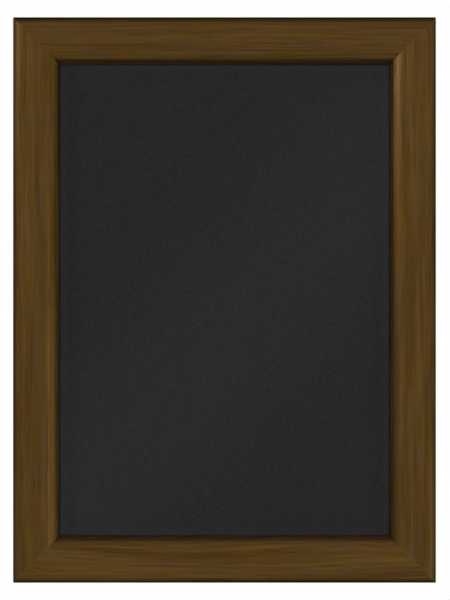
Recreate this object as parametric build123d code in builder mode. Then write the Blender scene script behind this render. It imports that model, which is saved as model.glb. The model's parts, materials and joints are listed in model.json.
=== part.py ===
from build123d import *
import os
from math import atan2, cos, degrees, hypot, radians, sin, tan

# Snap frame chalkboard, for hanging on a wall.
# Lengths are in millimetres. The frame lies in the XZ plane with +Z up. Its back plane is y = 0, its front
# faces -Y, and its origin is the middle of the back plane, which is the middle of the wall hole pattern.
# Each rail has its own section axes: u runs inwards from the outer edge, and d runs forwards from the wall.

# The insert, an A3 sheet size, and how far each snap rail laps over it
sheet_width = 297.0
sheet_height = 420.0
back_panel_thickness = 2.0
board_thickness = 3.0
board_arris = 0.4
lip_overlap = 6.0

# The snap rail's section
rail_width = 40.0
frame_depth = 16.0
face_thickness = 1.4
bevel_width = 4.8
bevel_drop = 3.4
lip_run = 3.7
lip_drop = 5.2
lip_round = 2.0
arris_round = 0.5
lip_clearance = 0.1
bead_clearance = 0.08
bead_setback = 0.1
knuckle_radius = 4.2
knuckle_wall = 1.4
knuckle_front_angle = 128.0
knuckle_tail_angle = -66.0
open_angle = 100.0
mitre_front_gap = 0.1
mitre_back_gap = 1.0
notch_margin = 1.0

# The spring groove, alike on the snap rail and on the base rail
curl_radius = 0.8
groove_clearance = 0.1
groove_wall = 0.9
snap_groove_reach = 5.4
rib_groove_angle = 2.0
rib_mouth_margin = 47.5
snap_mouth_margin = 43.4

# The base rail's section
floor_thickness = 1.4
wall_thickness = 1.4
stem_thickness = 1.4
shoulder_thickness = 1.4
side_gap = 0.5
rib_thickness = 1.4
key_channel_width = 11.4
key_lip_reach = 1.5
key_lip_thickness = 1.0
panel_stop_thickness = 1.6
panel_stop_height = 6.0
base_edge_cut = 0.5
panel_clearance = 0.4
ledge_setback = 2.0
base_mitre_gap = 0.05

# The corner keys and their grub screws
key_thickness = 2.4
key_clearance = 0.2
key_float = 0.1
key_arm_length = 56.0
key_corner_cut = 1.5
grub_radius = 2.0
grub_clearance = 0.05
grub_length = 3.2
grub_pitch = 16.0
grub_end_distance = 9.0
grub_socket_radius = 1.15
grub_socket_depth = 1.6

# The leaf springs
spring_width = 36.0
spring_thickness = 0.5
spring_outline_shares = ((0.2, 0.0), (0.5, -0.23), (0.8, 0.0))
spring_bend_share = 0.15
spring_pitch_short = 150.0
spring_pitch_long = 230.0

# The wall holes, in the floors of the two upright base rails
wall_hole_radius = 2.25
wall_hole_pitch_height = 280.0

# One overrun serves every cut
overrun = 5.0

# Sizes of the whole frame
frame_width = sheet_width + 2 * (rail_width - lip_overlap)
frame_height = sheet_height + 2 * (rail_width - lip_overlap)

# The hinge axis: the bead stands just inside the outer wall, and the knuckle carries the edge of the face
knuckle_bore_radius = knuckle_radius - knuckle_wall
bead_radius = knuckle_bore_radius - bead_clearance
hinge_u = bead_radius + bead_setback
hinge_d = frame_depth - knuckle_radius

# The stop and ledge for the panels, and the channel beside it for the corner keys and the wall holes
sheet_edge = rail_width - lip_overlap
panel_stop_end = sheet_edge - panel_clearance
panel_stop_start = panel_stop_end - panel_stop_thickness
ledge_end = rail_width - ledge_setback
rib_end = panel_stop_start - key_channel_width
rib_start = rib_end - rib_thickness
channel_middle = (rib_end + panel_stop_start) / 2

# The spring grooves: the rib's groove stands midway between the two ends of the snap groove's travel,
# so that the spring has the same length at both ends and is squeezed between them
snap_groove_angle = rib_groove_angle - open_angle / 2
groove_bore_radius = curl_radius + groove_clearance
groove_radius = groove_bore_radius + groove_wall
snap_groove_u = hinge_u + snap_groove_reach * cos(radians(snap_groove_angle))
snap_groove_d = hinge_d + snap_groove_reach * sin(radians(snap_groove_angle))
rib_groove_u = rib_end - groove_radius
rib_groove_d = hinge_d + (rib_groove_u - hinge_u) * tan(radians(rib_groove_angle))
spring_chord = hypot(rib_groove_u - snap_groove_u, rib_groove_d - snap_groove_d)
spring_angle = degrees(atan2(rib_groove_d - snap_groove_d, rib_groove_u - snap_groove_u))

# How far the spring turns about the rib's groove while the snap rail swings fully open, and the mouths of
# the two grooves, each wider than the spring's turn in it
snap_open_angle = snap_groove_angle + open_angle
open_groove_u = hinge_u + snap_groove_reach * cos(radians(snap_open_angle))
open_groove_d = hinge_d + snap_groove_reach * sin(radians(snap_open_angle))
open_spring_angle = degrees(atan2(rib_groove_d - open_groove_d, rib_groove_u - open_groove_u))
spring_turn = open_spring_angle - spring_angle
rib_mouth_angle = abs(spring_turn) + rib_mouth_margin
snap_mouth_angle = open_angle + abs(spring_turn) + snap_mouth_margin

# The levels of the base rail, of the panels on it and of the keys in its channel
knuckle_sweep = radians(knuckle_front_angle + open_angle - 180)
shoulder_top = hinge_d - knuckle_radius * sin(knuckle_sweep) - side_gap
board_back = floor_thickness + back_panel_thickness
board_front = board_back + board_thickness
lip_end = board_front + lip_clearance
key_back = floor_thickness + key_float
key_front = key_back + key_thickness
key_lip_back = key_front + key_float

# The outline of a corner key, and the distance between the wall holes of the two upright rails
key_near_edge = rib_end + key_clearance
key_far_edge = panel_stop_start - key_clearance
key_arm_end = key_far_edge + key_arm_length
wall_hole_pitch_width = frame_width - 2 * channel_middle

# The crisp edges of the snap rail's face and bevel
arris = (rail_width - lip_run - bevel_width, frame_depth)
bevel_end = (rail_width - lip_run, frame_depth - bevel_drop)

# The notch at each end of a snap rail frees what swings inwards past the neighbouring rail
notch_width = hinge_u + snap_groove_reach + groove_radius + notch_margin
notch_length = notch_width + notch_margin

os.makedirs("parts", exist_ok=True)
front = Vector(0, -1, 0)
wall_plane = Plane(origin=(0, 0, 0), x_dir=(1, 0, 0), z_dir=front)

# Each side: its name, the direction inwards from its outer edge, the distance of that edge from the middle,
# its outside length, and its two springs with the distance between them
sides = (
    ("bottom", Vector(0, 0, 1), frame_height / 2, frame_width, ("left", "right"), spring_pitch_short),
    ("right", Vector(-1, 0, 0), frame_width / 2, frame_height, ("bottom", "top"), spring_pitch_long),
    ("top", Vector(0, 0, -1), frame_height / 2, frame_width, ("right", "left"), spring_pitch_short),
    ("left", Vector(1, 0, 0), frame_width / 2, frame_height, ("top", "bottom"), spring_pitch_long),
)


def section_plane(inward, reach, length):
    """The plane of a rail's section at the rail's first end: x is u, y is d, and z runs along the rail."""
    along = inward.cross(front)
    return Plane(origin=inward * -reach - along * (length / 2), x_dir=inward, z_dir=along)


def mitred_block(section, length, back_gap, front_gap):
    """The space of one rail between its two mitres. Each mitre stands back from 45 degrees by a gap."""
    block_plane = Plane(origin=section.origin, x_dir=section.z_dir, z_dir=front)
    outer = -overrun
    inner = rail_width + overrun
    with BuildPart() as block:
        for level, gap in ((0, back_gap), (frame_depth, front_gap)):
            with BuildSketch(block_plane.offset(level)):
                with BuildLine():
                    Polyline(
                        (outer + gap, outer),
                        (inner + gap, inner),
                        (length - inner - gap, inner),
                        (length - outer - gap, outer),
                        close=True,
                    )
                make_face()
        loft(ruled=True)
    return block.part


def sector(middle, radius, start_angle, end_angle):
    """A flat sector, for cutting the mouth of a round groove."""
    with BuildSketch() as wedge:
        with BuildLine():
            edge = PolarLine(middle, radius, start_angle)
            arc = CenterArc(middle, radius, start_angle, end_angle - start_angle)
            Line(arc @ 1, edge @ 0)
        make_face()
    return wedge.sketch


def bar(start_u, end_u, start_d, end_d):
    """One straight wall of a section, in the sketch that is open."""
    with Locations(((start_u + end_u) / 2, (start_d + end_d) / 2)):
        Rectangle(end_u - start_u, end_d - start_d)


# The base rails: floor, outer wall, hinge bead, spring rib, key channel, panel stop and panel ledge
for name, inward, reach, length, _, _ in sides:
    section = section_plane(inward, reach, length)
    block = mitred_block(section, length, base_mitre_gap, base_mitre_gap)
    with BuildPart() as base_rail:
        with BuildSketch(section) as profile:
            bar(0, ledge_end, 0, floor_thickness)
            bar(0, wall_thickness, 0, shoulder_top)
            bar(0, hinge_u, shoulder_top - shoulder_thickness, shoulder_top)
            bar(
                hinge_u - stem_thickness / 2,
                hinge_u + stem_thickness / 2,
                shoulder_top - shoulder_thickness,
                hinge_d,
            )
            with Locations((hinge_u, hinge_d)):
                Circle(bead_radius)
            bar(rib_start, rib_end, 0, rib_groove_d)
            with Locations((rib_groove_u, rib_groove_d)):
                Circle(groove_radius)
                Circle(groove_bore_radius, mode=Mode.SUBTRACT)
            add(
                sector(
                    (rib_groove_u, rib_groove_d),
                    groove_radius + groove_wall,
                    180 + rib_groove_angle - rib_mouth_angle / 2,
                    180 + rib_groove_angle + rib_mouth_angle / 2,
                ),
                mode=Mode.SUBTRACT,
            )
            bar(rib_end, rib_end + key_lip_reach, key_lip_back, key_lip_back + key_lip_thickness)
            bar(
                panel_stop_start - key_lip_reach,
                panel_stop_start,
                key_lip_back,
                key_lip_back + key_lip_thickness,
            )
            bar(panel_stop_start, panel_stop_end, 0, panel_stop_height)
            columns = profile.vertices().group_by(Axis.X)
            chamfer(columns[0] + columns[-1], base_edge_cut)
        extrude(amount=length)
        add(block, mode=Mode.INTERSECT)
        if name in ("left", "right"):
            with BuildSketch(wall_plane):
                with GridLocations(wall_hole_pitch_width, wall_hole_pitch_height, 2, 2):
                    Circle(wall_hole_radius)
            extrude(amount=floor_thickness, mode=Mode.SUBTRACT)
    base_rail.part.label = f"base_rail_{name}"
    export_step(base_rail.part, f"parts/{base_rail.part.label}.step")

# The snap rails: hinge knuckle, face, bevel, pressing lip and spring groove
for name, inward, reach, length, _, _ in sides:
    section = section_plane(inward, reach, length)
    block = mitred_block(section, length, mitre_back_gap, mitre_front_gap)
    with BuildPart() as snap_rail:
        with BuildSketch(section) as profile:
            with Locations((hinge_u, hinge_d)):
                Circle(knuckle_radius)
                Circle(knuckle_bore_radius, mode=Mode.SUBTRACT)
            add(
                sector(
                    (hinge_u, hinge_d),
                    knuckle_radius + knuckle_wall,
                    knuckle_front_angle,
                    360 + knuckle_tail_angle,
                ),
                mode=Mode.SUBTRACT,
            )
            with BuildLine() as skin:
                Polyline(
                    (hinge_u, frame_depth),
                    arris,
                    bevel_end,
                    (rail_width, frame_depth - bevel_drop - lip_drop),
                    (rail_width, lip_end),
                )
                fillet(skin.vertices().sort_by(Axis.X).group_by(Axis.X)[-1].sort_by(Axis.Y)[-1], lip_round)
                offset(amount=face_thickness, side=Side.RIGHT, closed=True)
            make_face()
            with Locations((snap_groove_u, snap_groove_d)):
                Circle(groove_radius)
                Circle(groove_bore_radius, mode=Mode.SUBTRACT)
            add(
                sector(
                    (snap_groove_u, snap_groove_d),
                    groove_radius + groove_wall,
                    snap_groove_angle - snap_mouth_angle / 2,
                    snap_groove_angle + snap_mouth_angle / 2,
                ),
                mode=Mode.SUBTRACT,
            )
            for edge in (arris, bevel_end):
                fillet(profile.vertices().sort_by_distance(edge)[0], arris_round)
        extrude(amount=length)
        add(block, mode=Mode.INTERSECT)
        for notch_start in (0, length - notch_length):
            with BuildSketch(section.offset(notch_start)):
                bar(-overrun, notch_width, -overrun, hinge_d)
            extrude(amount=notch_length, mode=Mode.SUBTRACT)
    snap_rail.part.label = f"snap_rail_{name}"
    export_step(snap_rail.part, f"parts/{snap_rail.part.label}.step")

# The leaf springs: a rolled curl at each edge and a bowed strip between them
for name, inward, reach, length, spring_names, pitch in sides:
    section = section_plane(inward, reach, length)
    chord = Location((snap_groove_u, snap_groove_d, 0), (0, 0, spring_angle))
    for spring_name, middle in zip(spring_names, (length / 2 - pitch / 2, length / 2 + pitch / 2)):
        bends = [(x * spring_chord, y * spring_chord) for x, y in spring_outline_shares]
        with BuildSketch() as strip:
            with BuildLine():
                FilletPolyline(
                    (0, 0),
                    *bends,
                    (spring_chord, 0),
                    radius=spring_bend_share * spring_chord,
                )
            trace(line_width=spring_thickness)
            with Locations((0, 0), (spring_chord, 0)):
                Circle(curl_radius)
        with BuildPart() as spring:
            with BuildSketch(section.offset(middle - spring_width / 2)):
                add(strip.sketch.moved(chord))
            extrude(amount=spring_width)
        spring.part.label = f"spring_{name}_{spring_name}"
        export_step(spring.part, f"parts/{spring.part.label}.step")

# The corners: each lies between one side and the next, seen from the front
corner_names = ("bottom_right", "top_right", "top_left", "bottom_left")
corner_planes = []
for side, next_side in zip(sides, sides[1:] + sides[:1]):
    corner = side[1] * -side[2] + next_side[1] * -next_side[2]
    corner_planes.append(Plane(origin=corner, x_dir=side[1], z_dir=front))

grub_far = key_arm_end - grub_end_distance
grub_near = grub_far - grub_pitch
grub_places = (
    (channel_middle, grub_near),
    (channel_middle, grub_far),
    (grub_near, channel_middle),
    (grub_far, channel_middle),
)

# The corner keys: flat steel angles that lie in the channels of two base rails
for name, corner_plane in zip(corner_names, corner_planes):
    with BuildPart() as key:
        with BuildSketch(corner_plane.offset(key_back)) as key_outline:
            bar(key_near_edge, key_arm_end, key_near_edge, key_far_edge)
            bar(key_near_edge, key_far_edge, key_near_edge, key_arm_end)
            inner_corner = (key_far_edge, key_far_edge)
            chamfer(key_outline.vertices().sort_by_distance(inner_corner)[1:], key_corner_cut)
            with Locations(*grub_places):
                Circle(grub_radius + grub_clearance, mode=Mode.SUBTRACT)
        extrude(amount=key_thickness)
    key.part.label = f"corner_key_{name}"
    export_step(key.part, f"parts/{key.part.label}.step")

# The grub screws: each stands on the floor of a base rail and lifts its key against the channel's lips
with BuildPart() as grub_screws:
    for corner_plane in corner_planes:
        with BuildSketch(corner_plane.offset(floor_thickness)):
            with Locations(*grub_places):
                Circle(grub_radius)
        extrude(amount=grub_length)
    for corner_plane in corner_planes:
        with BuildSketch(corner_plane.offset(floor_thickness + grub_length)):
            with Locations(*grub_places):
                RegularPolygon(grub_socket_radius, 6)
        extrude(amount=-grub_socket_depth, mode=Mode.SUBTRACT)
grub_screws.part.label = "grub_screws"
export_step(grub_screws.part, "parts/grub_screws.step")

# The back panel and the chalkboard, which lie on the ledges of the base rails
with BuildPart() as back_panel:
    with BuildSketch(wall_plane.offset(floor_thickness)):
        Rectangle(sheet_width, sheet_height)
    extrude(amount=back_panel_thickness)
back_panel.part.label = "back_panel"
export_step(back_panel.part, "parts/back_panel.step")

with BuildPart() as chalkboard:
    with BuildSketch(wall_plane.offset(board_back)):
        Rectangle(sheet_width, sheet_height)
    extrude(amount=board_thickness)
    chamfer(chalkboard.faces().sort_by(Axis.Y)[0].edges(), board_arris)
chalkboard.part.label = "chalkboard"
export_step(chalkboard.part, "parts/chalkboard.step")

print("frame", frame_width, frame_height, frame_depth)
print("hinge", hinge_u, hinge_d, "rib groove", rib_groove_u, rib_groove_d)
print("spring turn", spring_turn, "over", open_angle, "degrees; chord", spring_chord)
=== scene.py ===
"""Dresses a snap frame chalkboard: its finishes, leaf springs and grub screws, and the studio round it.

Lengths are in metres unless a name or a class says otherwise. X runs to the right and Z up, and the
front faces -Y.
"""

import json
import logging
import math
from collections.abc import Callable, Mapping, Sequence
from dataclasses import dataclass, field, replace
from enum import Enum, IntEnum
from functools import partial, reduce

import bmesh
import bpy
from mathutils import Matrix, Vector


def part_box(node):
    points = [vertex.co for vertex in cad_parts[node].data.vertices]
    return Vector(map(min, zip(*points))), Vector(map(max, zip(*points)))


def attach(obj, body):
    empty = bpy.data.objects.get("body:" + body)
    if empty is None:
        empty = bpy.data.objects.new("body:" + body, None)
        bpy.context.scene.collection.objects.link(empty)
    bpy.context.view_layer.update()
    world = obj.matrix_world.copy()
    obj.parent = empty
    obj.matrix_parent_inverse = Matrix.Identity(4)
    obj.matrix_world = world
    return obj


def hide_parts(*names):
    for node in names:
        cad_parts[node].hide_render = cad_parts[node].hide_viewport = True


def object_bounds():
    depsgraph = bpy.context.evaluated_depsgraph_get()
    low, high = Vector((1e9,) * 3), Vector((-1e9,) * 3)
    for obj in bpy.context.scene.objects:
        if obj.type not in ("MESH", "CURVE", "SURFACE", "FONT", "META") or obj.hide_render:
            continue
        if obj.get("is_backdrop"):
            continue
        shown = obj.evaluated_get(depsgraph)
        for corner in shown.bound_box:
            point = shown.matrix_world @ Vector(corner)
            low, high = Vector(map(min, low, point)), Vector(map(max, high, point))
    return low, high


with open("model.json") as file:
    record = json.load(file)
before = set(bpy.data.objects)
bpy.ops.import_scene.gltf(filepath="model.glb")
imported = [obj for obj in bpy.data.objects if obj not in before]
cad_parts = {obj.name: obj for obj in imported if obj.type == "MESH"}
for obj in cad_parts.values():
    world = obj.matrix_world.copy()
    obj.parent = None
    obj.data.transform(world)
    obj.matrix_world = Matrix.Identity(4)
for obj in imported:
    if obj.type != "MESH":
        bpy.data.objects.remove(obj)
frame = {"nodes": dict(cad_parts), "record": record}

LOG = logging.getLogger("chalkboard")
MM = 0.001
MIDDLE = (0.0, 0.0, 0.0)
RIGHT = (1.0, 0.0, 0.0)
FRONT = Vector((0.0, -1.0, 0.0))
UP = (0.0, 0.0, 1.0)
WHITE = (1.0, 1.0, 1.0)
SHARP_FROM = math.radians(32.0)

Colour = tuple[float, float, float]
Facet = bpy.types.MeshPolygon
Material = bpy.types.Material
Mesh = bmesh.types.BMesh
Piece = bpy.types.Object
Socket = bpy.types.NodeSocket
Value = float | Sequence[float] | Socket
Vert = bmesh.types.BMVert


def linear(red: int, green: int, blue: int) -> Colour:
    """Turns a display colour of 0 to 255 into the linear colour that a shader takes.

    Args:
        red: The red level.
        green: The green level.
        blue: The blue level.

    Returns:
        The three linear levels, from 0 to 1.
    """
    toe, slope, offset, gain, power = 0.04045, 12.92, 0.055, 1.055, 2.4
    shares = [level / 255 for level in (red, green, blue)]
    return tuple(x / slope if x <= toe else ((x + offset) / gain) ** power for x in shares)


def extent(points: Sequence[Vector]) -> list[Vector]:
    """Gives the lowest and the highest corner of the box round some points."""
    return [Vector(pick(point[i] for point in points) for i in range(3)) for pick in (min, max)]


class Side(Enum):
    """The four sides of the frame, each with its direction inwards from the outer edge."""

    BOTTOM = (0.0, 0.0, 1.0)
    RIGHT = (-1.0, 0.0, 0.0)
    TOP = (0.0, 0.0, -1.0)
    LEFT = (1.0, 0.0, 0.0)

    @property
    def word(self) -> str:
        """The side's name, as the nodes have it."""
        return self.name.lower()


@dataclass(frozen=True)
class Section:
    """The axes of one rail's section: u inwards from the outer edge, d forwards, and s along the rail."""

    side: Side
    cut_slant: float = 0.5

    @property
    def inward(self) -> Vector:
        """The direction in which u grows."""
        return Vector(self.side.value)

    @property
    def along(self) -> Vector:
        """The direction in which s grows."""
        return self.inward.cross(FRONT)

    @property
    def axes(self) -> tuple[Vector, Vector, Vector]:
        """The directions along the rail, inwards and forwards."""
        return self.along, self.inward, FRONT

    @property
    def reach(self) -> float:
        """The distance of the outer edge from the middle of the frame."""
        return max(-corner.dot(self.inward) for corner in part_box(f"base_rail_{self.side.word}"))

    @property
    def half_length(self) -> float:
        """The distance of each end of the rail from its middle, as far as the whole frame reaches.

        Returns:
            The distance.
        """
        rails = [name for name in frame["nodes"] if "_rail_" in name]
        low, high = extent([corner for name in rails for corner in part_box(name)])
        return abs((high - low).dot(self.along)) / 2

    def place(self, u: float, d: float, s: float) -> Vector:
        """Gives the point of the frame that the three section measures name."""
        return self.inward * (u - self.reach) + FRONT * d + self.along * s

    def measure(self, point: Vector) -> tuple[float, float, float]:
        """Gives a point's u, d and s."""
        return point.dot(self.inward) + self.reach, point.dot(FRONT), point.dot(self.along)

    def is_cut(self, facet: Facet) -> bool:
        """Says whether a facet of the rail is its mitre, or another cut across it."""
        return abs(facet.normal.dot(self.along)) > self.cut_slant


@dataclass(frozen=True)
class Marks:
    """The marks of one layer of a finish. Sizes are in millimetres.

    Attributes:
        size: How large a mark is along each of the three measures.
        detail: How many finer layers it has.
        span: The part of the noise that is spread over 0 to 1.
        roughness: How strong the finer layers are.
        seed: Which of many like patterns it is.
        cross_seed: The same for the marks that lie the other way, where it has such.
    """

    size: tuple[float, float, float]
    detail: float = 3.0
    span: tuple[float, float] = (0.3, 0.7)
    roughness: float = 0.5
    seed: float = 0.0
    cross_seed: float = 0.0

    def varied(self, width: float, seed: float) -> "Marks":
        """Gives the same marks in another pattern, and wider by a factor."""
        length, *widths = self.size
        return replace(self, size=(length, *(each * width for each in widths)), seed=self.seed + seed)

    def crossed(self) -> "Marks":
        """Gives the same marks lying along the third measure in place of the first."""
        return replace(self, size=self.size[::-1], seed=self.cross_seed)


class Nodes:
    """A node tree while its nodes are being made."""

    def __init__(self, tree: bpy.types.NodeTree) -> None:
        """Takes a tree and empties it."""
        self.tree = tree
        tree.nodes.clear()

    def add(
        self, kind: str, inputs: Mapping[str | int, Value] | None = None, **settings: object
    ) -> bpy.types.Node:
        """Adds a node.

        Args:
            kind: The node's type.
            inputs: What its sockets take, by their names or numbers.
            **settings: Its properties.

        Returns:
            The node.
        """
        node = self.tree.nodes.new(kind)
        for key, value in settings.items():
            setattr(node, key, value)
        for key, value in (inputs or {}).items():
            self.plug(node.inputs[key], value)
        return node

    def plug(self, socket: Socket, value: Value) -> None:
        """Links a socket to another, or sets its number or colour.

        Args:
            socket: The socket that takes the value.
            value: A socket, a number, or a colour or vector.
        """
        if isinstance(value, Socket):
            self.tree.links.new(value, socket)
        elif socket.type == "RGBA" and len(value) == 3:
            socket.default_value = (*value, 1.0)
        else:
            socket.default_value = value

    def math(self, operation: str, *values: Value) -> Socket:
        """Works out one sum of numbers or sockets."""
        return self.add("ShaderNodeMath", dict(enumerate(values)), operation=operation).outputs["Value"]

    def seen_directly(self) -> Socket:
        """Adds a factor of 1 for rays from the camera, mirrors and glass, and of 0 for soft light.

        Returns:
            The factor's socket.
        """
        path = self.add("ShaderNodeLightPath").outputs
        mirrored = self.math("MAXIMUM", path["Is Camera Ray"], path["Is Glossy Ray"])
        return self.math("MAXIMUM", mirrored, path["Is Transmission Ray"])

    def mixed(self, factor: Value, first: bpy.types.Node, second: bpy.types.Node) -> Socket:
        """Mixes two surfaces or lights by a factor, which is how much of the second there is."""
        inputs = {0: factor, 1: first.outputs[0], 2: second.outputs[0]}
        return self.add("ShaderNodeMixShader", inputs).outputs[0]


class Shade(Nodes):
    """A material while its nodes are being made, ending in one principled surface."""

    def __init__(self, name: str) -> None:
        """Makes the empty material.

        Args:
            name: The material's name.
        """
        self.material = bpy.data.materials.new(name)
        self.material.use_nodes = True
        super().__init__(self.material.node_tree)
        self.surface = self.add("ShaderNodeBsdfPrincipled")
        self.output = self.add("ShaderNodeOutputMaterial", {"Surface": self.surface.outputs["BSDF"]})

    def finished(self, **values: Value) -> Material:
        """Sets sockets of the principled surface and gives the material.

        Args:
            **values: What each socket takes, with underscores in its name for spaces.

        Returns:
            The material.
        """
        for key, value in values.items():
            self.plug(self.surface.inputs[key.replace("_", " ")], value)
        return self.material

    def position(self) -> Socket:
        """Adds the place on the object, in millimetres."""
        inputs = {"Vector": self.add("ShaderNodeTexCoord").outputs["Object"], "Scale": 1 / MM}
        return self.add("ShaderNodeVectorMath", inputs, operation="SCALE").outputs["Vector"]

    def split(self, vector: Socket) -> list[Socket]:
        """Takes a vector apart into its three numbers."""
        return list(self.add("ShaderNodeSeparateXYZ", {0: vector}).outputs)

    def combine(self, *numbers: Value) -> Socket:
        """Makes a vector of three numbers."""
        return self.add("ShaderNodeCombineXYZ", dict(enumerate(numbers))).outputs["Vector"]

    def between(self, operation: str, first: Socket, second: Sequence[float]) -> Socket:
        """Works out a number from a vector and a fixed one, such as their distance."""
        inputs = {0: first, 1: tuple(second)}
        return self.add("ShaderNodeVectorMath", inputs, operation=operation).outputs["Value"]

    def measures(self, *axes: Sequence[float]) -> list[Socket]:
        """Adds the place on the object, in millimetres, as its lengths along some axes."""
        place = self.position()
        return [self.between("DOT_PRODUCT", place, axis) for axis in axes]

    def noise(self, measures: Sequence[Socket], marks: Marks) -> Socket:
        """Adds a noise of about 0 to 1.

        Args:
            measures: The three measures along which the sizes of its marks are.
            marks: What its marks are like.

        Returns:
            The noise's socket.
        """
        scaled = (self.math("DIVIDE", measure, size) for measure, size in zip(measures, marks.size))
        inputs = {
            "Vector": self.combine(*scaled),
            "W": marks.seed,
            "Scale": 1.0,
            "Detail": marks.detail,
            "Roughness": marks.roughness,
        }
        return self.add("ShaderNodeTexNoise", inputs, noise_dimensions="4D").outputs["Fac"]

    def marks(self, measures: Sequence[Socket], marks: Marks) -> Socket:
        """Adds marks, spread over the whole of 0 to 1."""
        return self.remap(self.noise(measures, marks), *marks.span)

    def crossed_marks(self, measures: Sequence[Socket], marks: Marks) -> Socket:
        """Adds marks that lie both ways, spread over the whole of 0 to 1."""
        both = (self.noise(measures, each) for each in (marks, marks.crossed()))
        return self.remap(self.math("MAXIMUM", *both), *marks.span)

    def remap(
        self, value: Socket, low: float, high: float, new_low: float = 0.0, new_high: float = 1.0
    ) -> Socket:
        """Turns the range from low to high smoothly into a new one, and holds what lies outside it."""
        inputs = dict(enumerate((value, low, high, new_low, new_high)))
        return self.add("ShaderNodeMapRange", inputs, interpolation_type="SMOOTHSTEP").outputs["Result"]

    def fall(self, value: Socket, low: float, high: float) -> Socket:
        """Falls smoothly from 1 at the start of a range to 0 at its end."""
        return self.remap(value, low, high, 1.0, 0.0)

    def wander(self, measure: Socket, noise: Socket, reach: float) -> Socket:
        """Moves a measure to either side by a noise, whose middle is a half."""
        return self.math("MULTIPLY_ADD", self.math("SUBTRACT", noise, 0.5), reach, measure)

    def product(self, *factors: Value) -> Socket:
        """Multiplies numbers or sockets."""
        return reduce(partial(self.math, "MULTIPLY"), factors)

    def layered(self, base: Value, *layers: tuple[Socket, float]) -> Socket:
        """Adds layers of marks to a base, each by its share."""
        return reduce(lambda total, layer: self.math("MULTIPLY_ADD", *layer, total), layers, base)

    def blend(self, factor: Value, first: Value, second: Value, how: str = "MIX") -> Socket:
        """Mixes two colours by a factor, which is how much of the second there is."""
        inputs = {0: factor, 6: first, 7: second}
        return self.add("ShaderNodeMix", inputs, data_type="RGBA", blend_type=how).outputs[2]

    def darken(self, colour: Value, factor: Socket) -> Socket:
        """Multiplies a colour by a number that varies over the surface."""
        return self.blend(1.0, colour, self.combine(factor, factor, factor), "MULTIPLY")

    def ramp(self, value: Socket, colours: Sequence[Colour]) -> Socket:
        """Runs evenly through several colours as a value goes from 0 to 1.

        Args:
            value: The value.
            colours: The colours, in order.

        Returns:
            The colour's socket.
        """
        node = self.add("ShaderNodeValToRGB", {"Fac": value})
        stops, last = node.color_ramp.elements, len(colours) - 1
        for i in range(1, last):
            stops.new(i / last)
        for stop, colour in zip(stops, colours):
            stop.color = (*colour, 1.0)
        return node.outputs["Color"]

    def bump(self, height: Socket, depth_mm: float) -> Socket:
        """Turns a height of 0 to 1 into relief of a depth in millimetres."""
        return self.add("ShaderNodeBump", {"Height": height, "Distance": depth_mm * MM}).outputs["Normal"]


@dataclass(frozen=True)
class Pattern:
    """What differs from one rail's film to the next. Levels are shares of the film's own tone.

    Attributes:
        seed: Which piece of the print it is.
        width: How wide its marks are, as a share of the usual width.
        bend: How far its grain strays sideways on its way along the rail, in millimetres.
        rings: The strength of its growth lines, from 0 to 1.
        level: The level of the whole rail.
        rim_level: The level of the painted shade at the rounded outer edge.
        rim_end: Where that painted shade ends, in millimetres from the outer edge.
        bevel_tint: The print's colour is multiplied by it on the bevel, as painted light and shade.
        bevel_level: The level of the painted shade at the foot of the bevel.
        bevel_gloss: The gloss of the bevel, as a share of the face's.
        lip_level: The level of the painted shade at the end of the lip.
        arris_wear: The painted highlight along the arris above the bevel, at the end of the rail.
        mitre_wear: Wear and painted highlight on the mitres, at the rail's start and end.
        bevel_fade: Where the bevel's painted shade starts and stops, in millimetres from the outer edge.
        gleam: How much lighter the outer edge is at the start of the rail, as a painted highlight.
    """

    seed: float
    width: float
    bend: float
    rings: float
    level: float
    rim_level: float
    rim_end: float
    bevel_tint: Colour
    bevel_level: float
    bevel_gloss: float
    lip_level: float
    arris_wear: float
    mitre_wear: tuple[float, float]
    bevel_fade: tuple[float, float] = (33.5, 37.0)
    gleam: float = 0.0


PATTERNS: dict[Side, Pattern] = {
    Side.BOTTOM: Pattern(
        seed=2.0,
        width=1.4,
        bend=17.0,
        rings=1.0,
        level=1.07,
        rim_level=0.26,
        rim_end=5.8,
        bevel_tint=(0.76, 0.73, 0.62),
        bevel_level=0.68,
        bevel_gloss=0.88,
        lip_level=0.52,
        arris_wear=0.05,
        mitre_wear=(0.4, 0.5),
    ),
    Side.RIGHT: Pattern(
        seed=31.0,
        width=1.6,
        bend=7.0,
        rings=0.35,
        level=1.06,
        rim_level=0.48,
        rim_end=4.8,
        bevel_tint=(0.76, 0.72, 0.51),
        bevel_fade=(30.9, 35.8),
        bevel_level=0.65,
        bevel_gloss=1.2,
        lip_level=0.36,
        gleam=0.4,
        arris_wear=0.8,
        mitre_wear=(0.5, 0.12),
    ),
    Side.TOP: Pattern(
        seed=57.0,
        width=1.1,
        bend=6.0,
        rings=0.45,
        level=0.83,
        rim_level=0.17,
        rim_end=6.2,
        bevel_tint=(1.55, 1.5, 1.38),
        bevel_level=0.44,
        bevel_gloss=1.0,
        lip_level=0.75,
        arris_wear=0.1,
        mitre_wear=(0.12, 0.15),
    ),
    Side.LEFT: Pattern(
        seed=83.0,
        width=1.9,
        bend=5.0,
        rings=0.35,
        level=0.97,
        rim_level=0.41,
        rim_end=4.8,
        bevel_tint=(1.3, 1.24, 0.95),
        bevel_level=0.68,
        bevel_gloss=0.5,
        lip_level=0.26,
        gleam=0.9,
        arris_wear=0.8,
        mitre_wear=(0.15, 0.42),
    ),
}


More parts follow.
